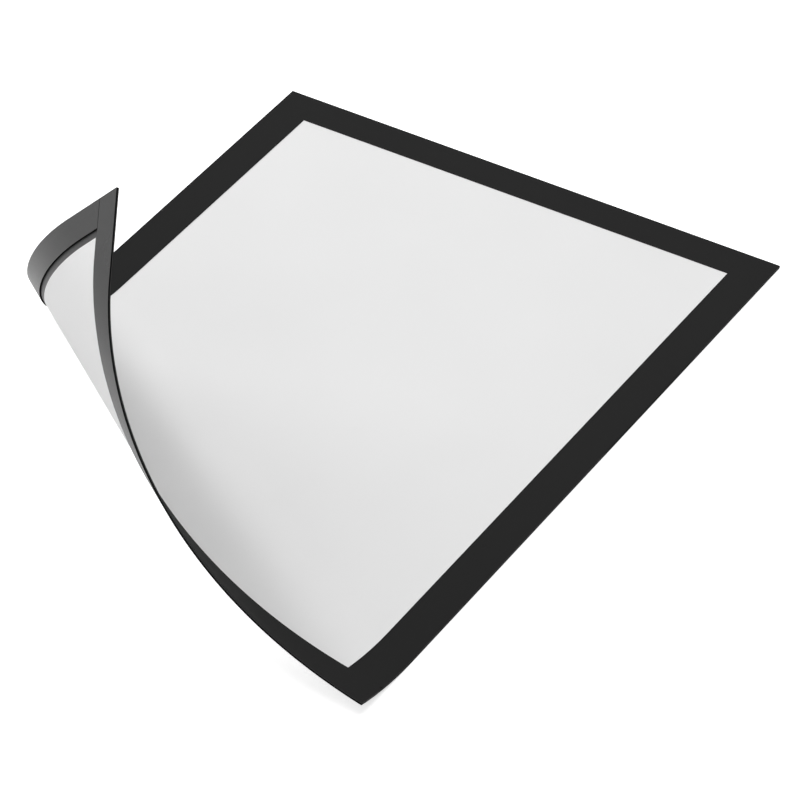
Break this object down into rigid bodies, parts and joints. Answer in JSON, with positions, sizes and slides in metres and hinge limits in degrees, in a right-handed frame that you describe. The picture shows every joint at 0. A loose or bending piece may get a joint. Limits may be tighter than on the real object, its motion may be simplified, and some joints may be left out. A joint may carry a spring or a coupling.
{
  "type": "magnetic sign frame",
  "caption": "Flat magnetic frame for an A4 sheet: black border, pale window film, magnetic strips behind, one corner peeled and rolled back.",
  "frame": {"origin": "middle of the footprint on the plane of the magnetic backs, the surface that the frame lies on or clings to", "axes": "+Z out of the front of the flat panel, +Y up the sheet towards the top strip, +X to the right as seen from the front"},
  "size_m": [0.2364, 0.3228, 0.1168],
  "materials": {
    "border_foil": "black PVC foil, fine satin",
    "window_film": "pale translucent PVC film, satin",
    "magnetic_sheet": "black flexible magnetic sheet, smooth satin"
  },
  "bodies": {
    "panel": {"border_foil_panel": "border_foil", "magnet_strip_left_panel": "magnetic_sheet", "magnet_strip_right_panel": "magnetic_sheet", "magnet_strip_top_panel": "magnetic_sheet", "window_film_panel": "window_film"},
    "bend_1": {"border_foil_left_bend_1": "border_foil", "border_foil_right_bend_1": "border_foil", "magnet_strip_bottom_bend_1": "magnetic_sheet", "magnet_strip_left_bend_1": "magnetic_sheet", "magnet_strip_right_bend_1": "magnetic_sheet", "window_film_bend_1": "window_film"},
    "bend_2": {"border_foil_bottom_right_bend_2": "border_foil", "border_foil_left_bend_2": "border_foil", "magnet_strip_bottom_bend_2": "magnetic_sheet", "magnet_strip_left_bend_2": "magnetic_sheet", "window_film_bend_2": "window_film"},
    "bend_3": {"border_foil_bottom_bend_3": "border_foil", "border_foil_left_bend_3": "border_foil", "magnet_strip_bottom_bend_3": "magnetic_sheet", "magnet_strip_left_bend_3": "magnetic_sheet", "window_film_bend_3": "window_film"},
    "bend_4": {"border_foil_bottom_bend_4": "border_foil", "border_foil_left_bend_4": "border_foil", "magnet_strip_bottom_bend_4": "magnetic_sheet", "magnet_strip_left_bend_4": "magnetic_sheet", "window_film_bend_4": "window_film"},
    "bend_5": {"border_foil_bottom_bend_5": "border_foil", "border_foil_left_bend_5": "border_foil", "magnet_strip_bottom_bend_5": "magnetic_sheet", "magnet_strip_left_bend_5": "magnetic_sheet", "window_film_bend_5": "window_film"},
    "bend_6": {"border_foil_bottom_bend_6": "border_foil", "border_foil_left_bend_6": "border_foil", "magnet_strip_bottom_bend_6": "magnetic_sheet", "magnet_strip_left_bend_6": "magnetic_sheet", "window_film_bend_6": "window_film"},
    "bend_7": {"border_foil_bottom_bend_7": "border_foil", "border_foil_left_bend_7": "border_foil", "magnet_strip_bottom_bend_7": "magnetic_sheet", "magnet_strip_left_bend_7": "magnetic_sheet", "window_film_bend_7": "window_film"},
    "bend_8": {"border_foil_bottom_bend_8": "border_foil", "border_foil_left_bend_8": "border_foil", "magnet_strip_bottom_bend_8": "magnetic_sheet", "magnet_strip_left_bend_8": "magnetic_sheet", "window_film_bend_8": "window_film"},
    "bend_9": {"border_foil_bottom_left_bend_9": "border_foil", "magnet_strip_bottom_bend_9": "magnetic_sheet", "magnet_strip_left_bend_9": "magnetic_sheet", "window_film_bend_9": "window_film"}
  },
  "joints": [
    {"name": "corner_peel", "type": "hinge", "parent": "panel", "child": "bend_1", "pos_m": [-0.02671, -0.04667, 0.00144], "axis": [-0.8471, 0.5314, -0.0007], "range_deg": [-13.4, 4.4]},
    {"name": "corner_bend_2", "type": "hinge", "parent": "bend_1", "child": "bend_2", "pos_m": [-0.03473, -0.05668, 0.00448], "axis": [-0.8324, 0.5541, -0.0072], "range_deg": [-13.4, 4.4]},
    {"name": "corner_bend_3", "type": "hinge", "parent": "bend_2", "child": "bend_3", "pos_m": [-0.04231, -0.06597, 0.0105], "axis": [-0.8182, 0.5746, -0.0197], "range_deg": [-13.4, 4.4]},
    {"name": "corner_bend_4", "type": "hinge", "parent": "bend_3", "child": "bend_4", "pos_m": [-0.04906, -0.07396, 0.01928], "axis": [-0.8054, 0.5916, -0.0377], "range_deg": [-13.4, 4.4]},
    {"name": "corner_bend_5", "type": "hinge", "parent": "bend_4", "child": "bend_5", "pos_m": [-0.0546, -0.08012, 0.03043], "axis": [-0.7946, 0.6042, -0.0601], "range_deg": [-13.4, 4.4]},
    {"name": "corner_bend_6", "type": "hinge", "parent": "bend_5", "child": "bend_6", "pos_m": [-0.05857, -0.08406, 0.04339], "axis": [-0.7864, 0.6117, -0.0856], "range_deg": [-13.4, 4.4]},
    {"name": "corner_bend_7", "type": "hinge", "parent": "bend_6", "child": "bend_7", "pos_m": [-0.0607, -0.08547, 0.05752], "axis": [-0.7814, 0.6138, -0.113], "range_deg": [-13.4, 4.4]},
    {"name": "corner_bend_8", "type": "hinge", "parent": "bend_7", "child": "bend_8", "pos_m": [-0.06078, -0.08424, 0.07205], "axis": [-0.7797, 0.6102, -0.1406], "range_deg": [-13.4, 4.4]},
    {"name": "corner_bend_9", "type": "hinge", "parent": "bend_8", "child": "bend_9", "pos_m": [-0.05871, -0.08036, 0.0862], "axis": [-0.7815, 0.6012, -0.1669], "range_deg": [-13.4, 4.4]}
  ],
  "couplings": [
    {"joint": "corner_bend_2", "follows": "corner_peel", "ratio": 1},
    {"joint": "corner_bend_3", "follows": "corner_peel", "ratio": 1},
    {"joint": "corner_bend_4", "follows": "corner_peel", "ratio": 1},
    {"joint": "corner_bend_5", "follows": "corner_peel", "ratio": 1},
    {"joint": "corner_bend_6", "follows": "corner_peel", "ratio": 1},
    {"joint": "corner_bend_7", "follows": "corner_peel", "ratio": 1},
    {"joint": "corner_bend_8", "follows": "corner_peel", "ratio": 1},
    {"joint": "corner_bend_9", "follows": "corner_peel", "ratio": 1}
  ]
}
